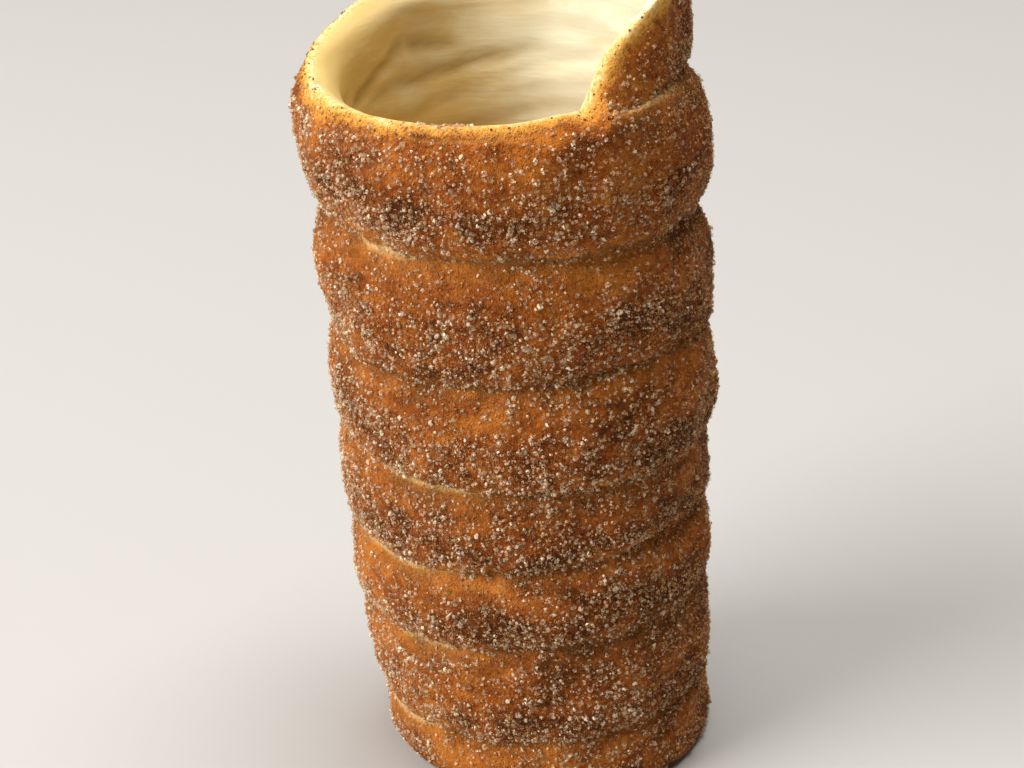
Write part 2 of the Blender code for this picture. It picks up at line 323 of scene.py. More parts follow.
class Wall:
    """The whole wall as one closed grid: round the tube by down the outside, under
    the foot and up the hollow. Both ways it closes on itself.

    Each column is a section made of quarter ellipses (rim outside, foot, rim inside)
    and straight runs, with its radius from the wound strip outside and from the cone
    inside. It is turned to its part of a turn, shifted to the leaning axis, then moved
    along its normals by the relief. Every length here is in mm.

    u: part of a turn. rim: distance from the crest, and over: the same but less than
    0 inside. outside and inside: 1 on that face and 0 on the other. lower: 1 low on
    each turn and 0 high. second: the thin line beside the rim. folds: the creases in
    the mouth. wound: the wound strip there. points and normals: the finished grid.
    """

    def __init__(self, sizes):
        """Work out the smooth section, then what each point is, then the relief."""
        base = self._section(sizes)
        self._measure(base)
        self._relieve(base, sizes.crease * MM_PER_METRE)

    def _section(self, sizes):
        """The smooth grid, with the strip's swellings and without the relief."""
        columns = sizes.columns
        u = (np.arange(columns) / columns)[:, None]
        top = edge_height(u - 1.0)
        left_lip, end_roll = around(u, *LEFT_LIP), around(u, *END_ROLL)
        round_out = RIM_ROUND_OUT - END_ROUND_OUT * end_roll
        round_in = RIM_ROUND_IN - END_ROUND_IN * end_roll
        shoulder = top - round_out
        lean = LIP_LEAN * left_lip
        crest = bore_radius(top) + RIM_INSET - LIP_INSET * left_lip - END_INSET * end_roll

        # Rim, outside: a quarter ellipse from the crest down to the shoulder
        a = np.linspace(0.5 * np.pi, 0, sizes.rim_rows, endpoint=False)[None, :]
        rim_z = shoulder + round_out * np.sin(a)
        rim_r = crest + (Wound(u + 0 * a, rim_z).radius - crest) * np.cos(a)

        # Outside, straight rows from the shoulder to the foot
        s = np.linspace(0, 1, sizes.side_rows)[None, :]
        side_z = shoulder + (FOOT_ROUND_HEIGHT - shoulder) * s
        side_r = Wound(u + 0 * s, side_z).radius

        # Foot: a quarter ellipse, then flat to the hollow
        b = np.linspace(0, 0.5 * np.pi, FOOT_ROWS)[None, 1:]
        foot_r = side_r[:, -1:] - FOOT_ROUND_WIDTH * (1 - np.cos(b))
        foot_z = FOOT_ROUND_HEIGHT * (1 - np.sin(b)) + 0 * u
        flat = np.linspace(0, 1, FLAT_ROWS)[None, 1:]
        flat_r = foot_r[:, -1:] + (BORE_FOOT + FOOT_BREAK - foot_r[:, -1:]) * flat
        flat_z = np.zeros_like(flat_r)

        # Hollow: straight up the cone, then a quarter ellipse to the crest
        mouth = top - round_in
        deep = np.linspace(0, 1, DEEP_ROWS, endpoint=False)[None, :]
        high = np.linspace(0, 1, sizes.bore_rows - DEEP_ROWS)[None, :]
        turn_in = mouth - MOUTH_DEPTH
        bore_z = np.concatenate([FOOT_BREAK + (turn_in - FOOT_BREAK) * deep,
                                 turn_in + MOUTH_DEPTH * high], axis=1)
        bore_r = bore_radius(bore_z) - lean * np.exp(-((mouth - bore_z) / LIP_HEIGHT) ** 2)
        c = np.linspace(0, 0.5 * np.pi, LIP_ROWS)[None, 1:-1]
        lip_r = crest - (crest - bore_radius(mouth) + lean) * np.cos(c)
        lip_z = mouth + round_in * np.sin(c)

        r = np.concatenate([rim_r, side_r, foot_r, flat_r, bore_r, lip_r], axis=1)
        z = np.concatenate([rim_z, side_z, foot_z, flat_z, bore_z, lip_z], axis=1)
        outer = rim_r.shape[1] + side_r.shape[1] + foot_r.shape[1]
        under = outer + flat_r.shape[1]
        rows = np.arange(r.shape[1])[None, :] + 0 * u
        self.inside = smooth(rows, under - 1, under + 2)
        self.outside = 1 - smooth(rows, outer - 3, outer + 1)
        self.u = u + np.zeros_like(r)
        self.z = z
        angle = 2 * np.pi * self.u - 0.5 * np.pi
        middle = foot_middle()
        x = per_turn(AXIS_X, z / AXIS_STEP) - AXIS_X[0] + middle[0]
        return np.stack([x + r * np.cos(angle), r * np.sin(angle) + middle[1], z], -1)

    def _measure(self, base):
        """Each point's place on the wound strip, and its distance from the crest."""
        self.wound = Wound(self.u, self.z)
        step = np.diff(base, axis=1, prepend=base[:, -1:])
        run = np.linalg.norm(step, axis=2)
        down = np.cumsum(run, axis=1) - run[:, :1]
        up = np.cumsum(run[:, ::-1], axis=1)[:, ::-1]
        self.rim = np.minimum(down, up)
        self.over = np.where(down < up, down, -up)
        wander = waves(base, *BAND_WANDER)
        self.lower = 0.5 - 0.5 * np.sin(2 * np.pi * self.wound.t + wander)

    def _relieve(self, base, crease_depth):
        """Move each point along its normal. Outside: lumps and pits, less the crease,
        plus the ledge at each seam, less the line beside the rim and room for the
        sugar. In the hollow: soft pulls, less the crease and the folds. At the crest
        only a part of the lumps is left."""
        wound = self.wound
        lump = waves(base, *BROAD_LUMPS) + waves(base, *SMALL_LUMPS)
        pits = waves(base, *PITS)
        wobble = waves(base, *WOBBLE)
        crease = np.exp(-((wound.near + wobble) / CREASE_WIDTH) ** 2) * wound.seam
        calm = smooth(self.rim, 0.0, CREST_CALM)
        side = np.where(wound.t < 0.5, 1.0, -1.0)
        ledge = np.exp(-wound.near / LEDGE_WIDTH) * side * wound.seam
        proud = 1 - smooth(wound.line, 0.25, 0.45)
        ledge = ledge * (END_LEDGE * proud - LEDGE * (1 - proud))
        off_line = self.over - LINE_PLACE - LINE_WANDER * wobble
        self.second = np.exp(-(off_line / LINE_WIDTH) ** 2) * around(self.u, *SECOND_LINE)
        out = ((lump + pits) * smooth(self.z, 0.5, 7.0) - crease_depth * crease
               + ledge - LINE_DEPTH * self.second - SUGAR_ROOM) * self.outside * calm
        pulled = base * np.array([1.0, 1.0, CRUMB_STRETCH])
        soft = waves(pulled, *CRUMB_PULLS) + waves(base, *CRUMB_SWELLS)
        self.folds = self.inside * mouth_folds(self.u, self.z + 0.7 * wobble)
        deep = HOLLOW_CREASE * crease * smooth(self.rim, 9.0, 20.0)
        hollow = (soft - deep - FOLD_DEPTH * self.folds) * self.inside * calm
        relief = (out + hollow) * smooth(self.z, 0.0, 4.0) + 0.3 * lump * (1 - calm)
        self.points = base + grid_normals(base) * relief[..., None]
        self.normals = grid_normals(self.points)


def grid_normals(points):
    """Outward unit normals of a grid that closes both ways: the cross product of the
    steps down the section and round the tube."""
    across = np.roll(points, -1, 0) - np.roll(points, 1, 0)
    along = np.roll(points, -1, 1) - np.roll(points, 1, 1)
    normal = np.cross(along, across)
    return normal / np.maximum(np.linalg.norm(normal, axis=2, keepdims=True), 1e-9)


# Meshes

def grid_mesh(name, points):
    """One quad for each cell of a grid that closes both ways. Points are in mm."""
    count, rows = points.shape[:2]
    index = np.arange(count * rows).reshape(count, rows)
    right = np.roll(index, -1, 0)
    quads = np.stack([index, np.roll(index, -1, 1), np.roll(right, -1, 1), right], -1)
    return face_mesh(name, points.reshape(-1, 3), quads.reshape(-1, 4), True)


def face_mesh(name, points, faces, smooth_shaded):
    """Mesh from an array of points in mm and an array of equal-sided faces."""
    mesh = bpy.data.meshes.new(name)
    sides = faces.shape[1]
    mesh.vertices.add(len(points))
    mesh.vertices.foreach_set("co", (points / MM_PER_METRE).astype(np.float32).ravel())
    mesh.loops.add(faces.size)
    mesh.loops.foreach_set("vertex_index", faces.astype(np.int32).ravel())
    mesh.polygons.add(len(faces))
    starts = np.arange(len(faces), dtype=np.int32) * sides
    mesh.polygons.foreach_set("loop_start", starts)
    mesh.polygons.foreach_set("use_smooth", np.full(len(faces), smooth_shaded))
    mesh.update(calc_edges=True)
    mesh.validate()
    return mesh


def keep(mesh, name, values, domain="POINT"):
    """Store one number a vertex, or a face, for the materials to read."""
    layer = mesh.attributes.new(name, "FLOAT", domain)
    layer.data.foreach_set("value", np.asarray(values, np.float32).ravel())


def add_piece(name, mesh, material):
    """Put a finished mesh in the scene as a piece that rides on the cake."""
    piece = bpy.data.objects.new(name, mesh)
    mesh.materials.append(material)
    bpy.context.scene.collection.objects.link(piece)
    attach(piece, "root")
    return piece


BOX_CORNERS = np.array([[x, y, z] for x in (-1, 1) for y in (-1, 1) for z in (-1, 1)], float)
BOX_FACES = np.array([[0, 1, 3], [0, 3, 2], [4, 6, 7], [4, 7, 5], [0, 4, 5], [0, 5, 1],
                      [2, 3, 7], [2, 7, 6], [0, 2, 6], [0, 6, 4], [1, 5, 7], [1, 7, 3]])
BOX = (BOX_CORNERS, BOX_FACES)

GOLD = 0.5 * (1 + math.sqrt(5))
NUT_CORNERS = np.array([[-1, GOLD, 0], [1, GOLD, 0], [-1, -GOLD, 0], [1, -GOLD, 0],
                        [0, -1, GOLD], [0, 1, GOLD], [0, -1, -GOLD], [0, 1, -GOLD],
                        [GOLD, 0, -1], [GOLD, 0, 1], [-GOLD, 0, -1], [-GOLD, 0, 1]]) / GOLD
NUT_FACES = np.array([[0, 11, 5], [0, 5, 1], [0, 1, 7], [0, 7, 10], [0, 10, 11],
                      [1, 5, 9], [5, 11, 4], [11, 10, 2], [10, 7, 6], [7, 1, 8],
                      [3, 9, 4], [3, 4, 2], [3, 2, 6], [3, 6, 8], [3, 8, 9],
                      [4, 9, 5], [2, 4, 11], [6, 2, 10], [8, 6, 7], [9, 8, 1]])
NUT = (NUT_CORNERS, NUT_FACES)

# A grade of sugar: its shape, crystals a batch, least and greatest edge in metres, and the
# powers of an even draw from 0 to 1 that give a crystal's tint and a facet's painted highlight
Grade = namedtuple("Grade", "shape count low high tint_power glint_power")
SIZE_POWER, CRYSTAL_SINK, CRYSTAL_SKEW, SPECK_SKEW = 1.6, 0.18, 0.2, 0.3


def crystals(shape, places, normals, edges, sink, skew, draw):
    """Small closed blocks: each corner of the shape is pulled about at random, scaled
    by the three edges, turned at random and moved to its place, with its middle a
    share of its size over the surface."""
    shape_corners, shape_faces = shape
    count = len(places)
    turn = draw.normal(size=(count, 4))
    turn /= np.linalg.norm(turn, axis=1, keepdims=True)
    w, x, y, z = turn.T
    spin = np.stack([
        1 - 2 * (y * y + z * z), 2 * (x * y - w * z), 2 * (x * z + w * y),
        2 * (x * y + w * z), 1 - 2 * (x * x + z * z), 2 * (y * z - w * x),
        2 * (x * z - w * y), 2 * (y * z + w * x), 1 - 2 * (x * x + y * y),
    ], -1).reshape(count, 3, 3)
    kinds = len(shape_corners)
    corners = shape_corners[None] * (1 + skew * draw.uniform(-1, 1, (count, kinds, 3)))
    corners = corners * 0.5 * edges[:, None, :]
    corners = np.einsum("cij,ckj->cki", spin, corners)
    middle = places + normals * (sink * edges.mean(1))[:, None]
    points = (corners + middle[:, None, :]).reshape(-1, 3)
    faces = (shape_faces[None] + kinds * np.arange(count)[:, None, None]).reshape(-1, 3)
    return points, faces


def scatter(wall, weight, count, draw):
    """Random places on the wall, as likely in each cell as its area times its weight:
    returns points, normals and the picked cell's column and row."""
    p = wall.points
    across = np.roll(p, -1, 0) - p
    along = np.roll(p, -1, 1) - p
    area = np.linalg.norm(np.cross(across, along), axis=2) * weight
    chance = np.cumsum(area.ravel())
    pick = np.searchsorted(chance, draw.uniform(0, chance[-1], count))
    i, j = np.unravel_index(np.minimum(pick, area.size - 1), area.shape)
    s, t = draw.uniform(0, 1, (2, count, 1))
    places = p[i, j] + across[i, j] * s + along[i, j] * t
    return places, wall.normals[i, j], i, j


# Shaders

class Value:
    """A number that varies over a surface: one socket, with the usual arithmetic."""

    def __init__(self, shader, socket):
        """Keep the socket and the shader that its nodes go into."""
        self.shader = shader
        self.socket = socket

    def _maths(self, operation, *values):
        """One Math node on these values, each a Value or a number."""
        node = self.shader.add("ShaderNodeMath", {"operation": operation},
                               dict(enumerate(values)))
        return Value(self.shader, node.outputs[0])

    def __add__(self, other):
        return self._maths("ADD", self, other)

    __radd__ = __add__

    def __sub__(self, other):
        return self._maths("SUBTRACT", self, other)

    def __rsub__(self, other):
        return self._maths("SUBTRACT", other, self)

    def __mul__(self, other):
        return self._maths("MULTIPLY", self, other)

    __rmul__ = __mul__

    def __truediv__(self, other):
        return self._maths("DIVIDE", self, other)

    def __rtruediv__(self, other):
        return self._maths("DIVIDE", other, self)

    def __neg__(self):
        return self._maths("MULTIPLY", self, -1.0)

    def exp(self):
        """e to this power."""
        return self._maths("EXPONENT", self)

    def least(self, other):
        """The smaller of the two."""
        return self._maths("MINIMUM", self, other)

    def most(self, other):
        """The larger of the two."""
        return self._maths("MAXIMUM", self, other)

    def step(self, low, high):
        """0 below low, 1 above high, smooth between."""
        node = self.shader.add("ShaderNodeMapRange", {"interpolation_type": "SMOOTHSTEP"},
                               {"Value": self, "From Min": low, "From Max": high})
        return Value(self.shader, node.outputs["Result"])


class Shader:
    """A material's nodes, built from a Principled BSDF up."""

    def __init__(self, name):
        """A new material with its place on the object ready for patterns."""
        self.material = bpy.data.materials.new(name)
        self.material.use_nodes = True
        self.tree = self.material.node_tree
        self.surface = self.tree.nodes["Principled BSDF"]
        self.place = self.add("ShaderNodeTexCoord", {}, {}).outputs["Object"]

    def add(self, kind, settings, sockets):
        """A node of this kind: its settings first, then its sockets' values or links."""
        node = self.tree.nodes.new(kind)
        for name, value in settings.items():
            setattr(node, name, value)
        for name, value in sockets.items():
            self.put(node.inputs[name], value)
        return node

    def put(self, socket, value):
        """Link a Value or a socket into this socket, or set it to a constant. A colour
        gets an alpha of 1."""
        if isinstance(value, Value):
            value = value.socket
        if isinstance(value, Color):
            value = (*value, 1.0)
        if isinstance(value, bpy.types.NodeSocket):
            self.tree.links.new(value, socket)
        else:
            socket.default_value = value

    def set(self, **values):
        """Constants or links on the Principled BSDF, spaces written as underscores."""
        for name, value in values.items():
            self.put(self.surface.inputs[name.replace("_", " ")], value)

    def kept(self, name):
        """A number stored in the mesh by keep()."""
        node = self.add("ShaderNodeAttribute", {"attribute_name": name}, {})
        return Value(self, node.outputs["Fac"])

    def noise(self, size, detail, rough, stretch, warp, shift, lean=0.0):
        """Noise with lumps of about this size in metres, stretched along the axes."""
        where = self.add("ShaderNodeMapping", {}, {
            "Vector": self.place,
            "Location": (shift, shift * 0.7, shift * 1.3), "Rotation": (0.0, lean, 0.0),
            "Scale": tuple(1.0 / (size * s) for s in stretch),
        }).outputs["Vector"]
        node = self.add("ShaderNodeTexNoise", {}, {
            "Vector": where, "Scale": 1.0, "Detail": detail, "Roughness": rough,
            "Distortion": warp,
        })
        return Value(self, node.outputs["Fac"])

    def cells(self, size):
        """Cells of this size: distance from a cell's middle, and one number a cell."""
        where = self.add("ShaderNodeMapping", {}, {
            "Vector": self.place, "Scale": (1.0 / size,) * 3,
        }).outputs["Vector"]
        node = self.add("ShaderNodeTexVoronoi", {}, {"Vector": where, "Scale": 1.0})
        split = self.add("ShaderNodeSeparateColor", {}, {"Color": node.outputs["Color"]})
        return Value(self, node.outputs["Distance"]), Value(self, split.outputs[0])

    def mix(self, share, first, second):
        """Colour that goes from first to second as share goes from 0 to 1."""
        node = self.add("ShaderNodeMix", {"data_type": "RGBA"}, {})
        self.put(node.inputs["Factor"], share)
        ends = {s.name: s for s in node.inputs if s.type == "RGBA"}
        self.put(ends["A"], first)
        self.put(ends["B"], second)
        return next(s for s in node.outputs if s.type == "RGBA")

    def bump(self, height, distance, strength):
        """Fine relief on the Normal: height times distance, in metres."""
        node = self.add("ShaderNodeBump", {}, {
            "Height": height, "Distance": distance, "Strength": strength})
        self.put(self.surface.inputs["Normal"], node.outputs["Normal"])


def dough_material(colours):
    """Crumb in the hollow, browning over the rim to a cinnamon crust with pale seams."""
    shader = Shader("baked_dough")
    bake, lower = shader.kept("bake"), shader.kept("lower")
    gap, far, pale = shader.kept("gap"), shader.kept("far"), shader.kept("pale")
    near = gap.most(-gap) + far
    inside, stretched = shader.kept("inside"), shader.kept("tan")

    # Crumb: cream with fine strands pulled round the spindle, and painted shade at the left and
    # front and deep in the hollow, partly a tan crumb there
    strands = shader.noise(0.0013, 3.0, 0.6, (8.0, 8.0, 1.0), 0.7, 0.0, 0.22)
    clouds = shader.noise(0.0075, 3.0, 0.55, (2.6, 2.6, 1.0), 0.5, 4.0, 0.3)
    shade = shader.kept("shade")
    crumb_tone = (strands - 0.5) * 0.3 + (clouds - 0.5) * 1.2 + shade * 0.85 + 0.20
    crumb = shader.mix(crumb_tone.step(0.0, 1.0), colours.crumb, colours.crumb_painted_shade)
    # Painted shade: the crumb darkens along the seams' creases and the mouth's folds
    painted_fold_shade = (near * near / -7.0).exp() * inside * shade * 0.2 + shader.kept("folds") * 0.95
    crumb = shader.mix(painted_fold_shade * (clouds.step(0.2, 0.7) * 0.4 + 0.6), crumb, colours.crumb_painted_fold_shade)

    # Crust: tone from light orange to dark brown, darker down each band
    broad = shader.noise(0.011, 3.0, 0.55, (1.5, 1.5, 1.0), 0.3, 9.0)
    middle = shader.noise(0.0034, 3.0, 0.6, (1.3, 1.3, 1.0), 0.4, 2.0)
    fine = shader.noise(0.0009, 3.0, 0.65, (1.0, 1.0, 1.0), 0.0, 6.0)
    # The kept tone carries painted shade at the right and partly painted light on the strip's
    # end
    tone = lower * 0.30 + shader.kept("tone") + (broad - 0.5) * 2.4
    tone = tone + (middle - 0.5) * 1.7 + (fine - 0.5) * 1.3 + 0.39
    crust = shader.mix(tone.step(-0.05, 0.62), colours.crust_light, colours.crust)
    crust = shader.mix(tone.step(0.45, 1.15), crust, colours.crust_dark_and_painted_shade)
    crust = shader.mix(stretched * (middle.step(0.25, 0.75) * 0.5 + 0.5), crust,
                       colours.crust_tan)
    flecks = shader.noise(0.0016, 2.0, 0.6, (1.0, 1.0, 1.0), 0.3, 12.0)
    crust = shader.mix(flecks.step(0.52, 0.75) * 0.16, crust, colours.crust_tan)
    uneven = (fine - 0.5) * 0.9 + (middle - 0.5) * 0.8
    ragged = gap + uneven
    beside = (far * -2.0).exp()
    # Painted shadow under each seam's overhang: the crust darkens along the crease, less at a
    # pale lens
    crease = ((ragged + 0.15) * (ragged + 0.15) / -0.10).exp() * beside
    crust = shader.mix(crease * (0.65 - pale * 0.45), crust, colours.crust_dark_and_painted_shade)

    # Cinnamon and fine sugar stuck over the crust, grain by grain
    grain, pick = shader.cells(DUST_SIZE)
    core = (0.46 - grain).step(0.0, 0.14) * bake.step(0.5, 1.0)
    crust = shader.mix(core * pick.step(0.55, 0.70) * (lower * 0.30 + 0.34), crust,
                       colours.dust)
    crust = shader.mix(core * (0.36 - pick).step(0.0, 0.1) * (lower * 0.28), crust,
                       colours.crust_dark_and_painted_shade)
    lens = ragged.step(-0.35, 0.05) * (pale * pale * pale * 1.6 + 0.25 - ragged).step(0.0, 0.9)
    lens = lens * pale * beside * (fine.step(0.3, 0.6) * 0.5 + 0.45)
    crust = shader.mix(lens, crust, colours.seam)
    crust = shader.mix(shader.kept("second") * 0.55, crust, colours.crust_tan)

    # Browning across the rim
    patches = (broad - 0.5) * 0.4 + (middle - 0.5) * 0.5 + (fine - 0.5) * 0.7
    browned = bake + patches * bake.step(-0.1, 0.4)
    colour = shader.mix(browned.step(0.02, 0.34), crumb, colours.golden)
    grains = fine.step(0.50, 0.62) * bake.step(0.04, 0.30) * 0.55
    colour = shader.mix(grains, colour, colours.crust_light)
    colour = shader.mix(browned.step(0.24, 0.56), colour, colours.honey)
    colour = shader.mix(browned.step(0.46, 0.92), colour, crust)
    shader.set(Base_Color=colour, Roughness=0.74 - bake.step(0.1, 0.8) * 0.16,
               IOR=1.42, Specular_IOR_Level=0.09)
    grit = uneven + (0.5 - grain).step(0.0, 0.4) * 0.4
    weave = (strands - 0.5) * 0.22 + (clouds - 0.5) * 0.5
    shader.bump(weave + (grit - weave) * bake.step(0.2, 0.7), GRIT_HEIGHT, 0.9)
    return shader.material


def sugar_material(colours):
    """Glassy crystals: a few facets are painted highlights, nearly opaque, and the rest are
    nearly clear.
    """
    shader = Shader("sugar_crystal")
    tint, glint = shader.kept("tint"), shader.kept("glint")
    colour = shader.mix(tint, colours.sugar, colours.sugar_brown_and_painted_shade)
    shader.set(Base_Color=colour, Roughness=0.10 + tint * 0.2, IOR=1.5,
               Specular_IOR_Level=0.42, Alpha=(glint * 0.95 + 0.04).least(1.0))
    return shader.material


def spice_material(colours):
    """Ground cinnamon: dark specks of uneven brown."""
    shader = Shader("cinnamon_speck")
    colour = shader.mix(shader.kept("tint"), colours.spice, colours.spice_light)
    shader.set(Base_Color=colour, Roughness=0.8)
    return shader.material


# Sizes and colours

def whole(name, default, least, most, description):
    """A whole number that a user can change."""
    return IntProperty(name=name, default=default, min=least, max=most,
                       description=description)


def length(name, default, least, most, description):
    """A length in metres that a user can change."""
    return FloatProperty(name=name, default=default, min=least, max=most,
                         subtype="DISTANCE", unit="LENGTH", description=description)


def watts(name, default, description):
    """A light's power that a user can change."""
    return FloatProperty(name=name, default=default, min=0.0, max=500.0, unit="POWER",
                         description=description)


def pigment(name, default, description):
    """A colour that a user can change."""
    return FloatVectorProperty(name=name, default=default, size=3, min=0.0, max=1.0,
                               subtype="COLOR", description=description)


class CakeWallSizes(bpy.types.PropertyGroup):
    """Fineness of the dough wall's grid, and its crease"""

    columns: whole("Steps round", 372, 90, 600, "Grid steps round the tube")
    rim_rows: whole("Rim rows", 26, 6, 60, "Grid rows over the outer half of the rim")
    side_rows: whole("Side rows", 165, 40, 400, "Grid rows from the rim's shoulder to the foot")
    bore_rows: whole("Hollow rows", 50, 20, 120, "Grid rows up the hollow")
    crease: length("Seam crease", 0.0006, 0.0, 0.002, "Depth of the crease where turns meet")


class CakeSugarSizes(bpy.types.PropertyGroup):
    """Numbers and sizes of the crystals and specks"""

    pieces: whole("Batches", 6, 1, 6, "Number of pieces that share the crystals")
    coarse_pieces: whole("Coarse batches", 2, 0, 5, "How many of the batches are coarse")
    batch: whole("Fine crystals a batch", 11500, 100, 16600, "Crystals in each fine piece")
    coarse_batch: whole("Coarse crystals a batch", 9500, 100, 9900,
                        "Crystals in each coarse piece")
    smallest: length("Smallest crystal", 0.00032, 0.0001, 0.002, "Edge of the finest crystals")
    middling: length("Middling crystal", 0.00072, 0.0002, 0.003,
                     "Edge where fine sugar ends and coarse begins")
    largest: length("Largest crystal", 0.00138, 0.0003, 0.003, "Edge of the coarsest crystals")
    specks: whole("Cinnamon specks", 1600, 10, 8000,
                  "Specks of ground cinnamon, most of them on the rim")
    seed: whole("Seed", 7, 0, 9999, "Seed of every random draw of the scatter")


class CakeColours(bpy.types.PropertyGroup):
    """Colours of crumb, crust, sugar and cinnamon"""

    crumb: pigment("Crumb", (0.90, 0.86, 0.655), "Pale inside of the tube")
    # Painted shade of the hollow, partly a tan crumb
    crumb_painted_shade: pigment("Crumb shade", (0.73, 0.51, 0.185), "Tan parts of the crumb")
    # Painted shade in the hollow's creases
    crumb_painted_fold_shade: pigment("Crumb folds", (0.42, 0.26, 0.075), "Creases in the hollow")
    golden: pigment("Golden rim", (0.88, 0.61, 0.25), "First browning of the rim")
    honey: pigment("Honey rim", (0.76, 0.36, 0.065), "Orange next to the crust")
    crust_light: pigment("Light crust", (0.50, 0.150, 0.018), "Orange, thinly browned")
    crust: pigment("Crust", (0.285, 0.066, 0.008), "Most of the outside")
    # Deepest browning, and also painted shade at the right and painted shadow under the seams
    crust_dark_and_painted_shade: pigment("Dark crust", (0.085, 0.020, 0.004), "Deepest browning")
    crust_tan: pigment("Tan crust", (0.61, 0.275, 0.06), "Stretched dough at seams")
    seam: pigment("Seam line", (0.88, 0.60, 0.25), "Pale line between two turns")
    dust: pigment("Sugar dust", (0.60, 0.30, 0.105), "Fine sugar in the crust")
    sugar: pigment("Sugar", (1.0, 0.84, 0.60), "Clean crystals")
    # Cinnamon-coated crystals, and also painted shade on the crystals at the right
    sugar_brown_and_painted_shade: pigment("Coated sugar", (0.53, 0.25, 0.07), "Crystals with cinnamon")
    spice: pigment("Cinnamon", (0.15, 0.060, 0.022), "Dark cinnamon specks")
    spice_light: pigment("Light cinnamon", (0.30, 0.13, 0.05), "Lighter specks")


class CakeStageSizes(bpy.types.PropertyGroup):
    """Floor, lights and lens"""

    floor: pigment("Floor", (0.54, 0.53, 0.515), "Plain pale floor")
    key: watts("Key light", 63.0, "Soft light from the left and a little in front")
    top: watts("Top light", 52.0, "Soft light from straight above")
    fill: watts("Fill light", 17.0, "Soft low light from the left")
    sky: FloatProperty(name="Surrounding light", default=0.13, min=0.0, max=5.0,
                       description="Strength of the plain surrounding light")
    lens: FloatProperty(name="Lens", default=86.13, min=10.0, max=300.0,
                        description="Focal length in millimetres on a 36 mm sensor")


# Pieces

_made = {}  # the wall's grid, once it is worked out


def wall_grid():
    """The wall's grid, worked out once and shared by the pieces that lie on it."""
    if "wall" not in _made:
        _made["wall"] = Wall(bpy.context.scene.cake_wall)
    return _made["wall"]


def browning(wall):
    """0 on the crumb and 1 on the crust: it grows in proportion outward across the rim,
    from a line and over a width that change round the tube. Where the strip's end
    covers it, the turn below is brown from just under the seam."""
    start = np.full_like(wall.u, BROWNING_START)
    width = np.full_like(wall.u, BROWNING_WIDTH)
    for stretch, outward, wider in BROWNING_CHANGES:
        share = around(wall.u, *stretch)
        start += outward * share
        width += wider * share
    across = np.clip((wall.over - start) / width, 0, 1)
    turn = wall.wound.turn
    covered = smooth(turn, COVER_START, COVER_FULL) * (turn < 0.5)
    covered = covered * smooth(wall.wound.near, 0.2, 2.2)
    across = np.maximum(across, covered * wall.outside)
    under = 1 - smooth(wall.z, 0.0, 1.2) * wall.inside
    return np.where(wall.over > -40, across, under * (1 - wall.inside))


def darkness(wall):
    """How much darker than usual the crust is: more low down, and at the right, where it is
    painted shade; less low at the left, on the strip's end, where it is partly painted light,
    and beside the rim."""
    low_down = smooth(75.0 - wall.z, -45.0, 40.0)
    # Painted shade: the crust is made darker at the right
    baked = FOOT_DARK * low_down + RIGHT_PAINTED_SHADE * around(wall.u, *RIGHT_SIDE)
    baked = baked - LEFT_LIGHT * low_down * around(wall.u, *LEFT_SIDE)
    # Partly painted light: the strip's end is made lighter near the rim
    baked = baked - END_LIGHTER_AND_PAINTED_LIGHT * around(wall.u, *END_FACE) * smooth(wall.z, 152, 160)
    return (baked - RIM_LIGHT * (1 - smooth(wall.rim, 1.5, 13.0))) * wall.outside


def crumb_painted_shade(wall):
    """How much painted shade the crumb takes, partly a tan crumb: more at the left and front,
    and deeper in the hollow.
    """
    shade = around(wall.u, *PAINTED_SHADE_IN_CRUMB) + 0.4 * smooth(152 - wall.z, 0, 30)
    return np.clip(shade, 0, 1.2) * wall.inside


def stretched_dough(wall):
    """How much a seam's stretched dough shows: falling away from the seam, faster above
    it than under it, and more beside a pale lens."""
    near = wall.wound.near
    fade = np.where(wall.wound.t < 0.5, np.exp(-near / 2.4), np.exp(-near / 1.0))
    return fade * wall.wound.seam * (0.22 + 0.5 * pale_seams(wall))


def pale_seams(wall):
    """How strongly the unbrowned line shows: a soft bump along the nearest seam for
    each lens, over a faint line everywhere."""
    line = wall.wound.line
    strength = np.full_like(line, 0.10)
    for middle, half, most in PALE_SEAMS:
        strength = np.maximum(strength, most * np.exp(-((line - middle) / half) ** 4))
    return strength * wall.wound.seam


class OBJECT_OT_cake_wall(bpy.types.Operator):
    """Make the dough wall: crust outside, rounded rim, and the pale hollow"""
    bl_idname = "object.cake_wall"
    bl_label = "Dough Wall"

    def execute(self, context):
        wall = wall_grid()
        wound = wall.wound
        mesh = grid_mesh("dough_wall", wall.points)
        looks = {
            "bake": browning(wall), "lower": wall.lower, "tone": darkness(wall),
            "gap": wound.gap + 6.0 * (1 - wound.seam),
            "far": 3.0 - 3.0 * np.cos(2 * np.pi * wound.t),
            "pale": pale_seams(wall), "tan": stretched_dough(wall), "second": wall.second,
            "inside": wall.inside, "shade": crumb_painted_shade(wall), "folds": wall.folds,
        }
        for name, values in looks.items():
            keep(mesh, name, values)
        piece = add_piece("dough_wall", mesh, dough_material(context.scene.cake_colours))
        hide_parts(NODE)
        return {"FINISHED"}


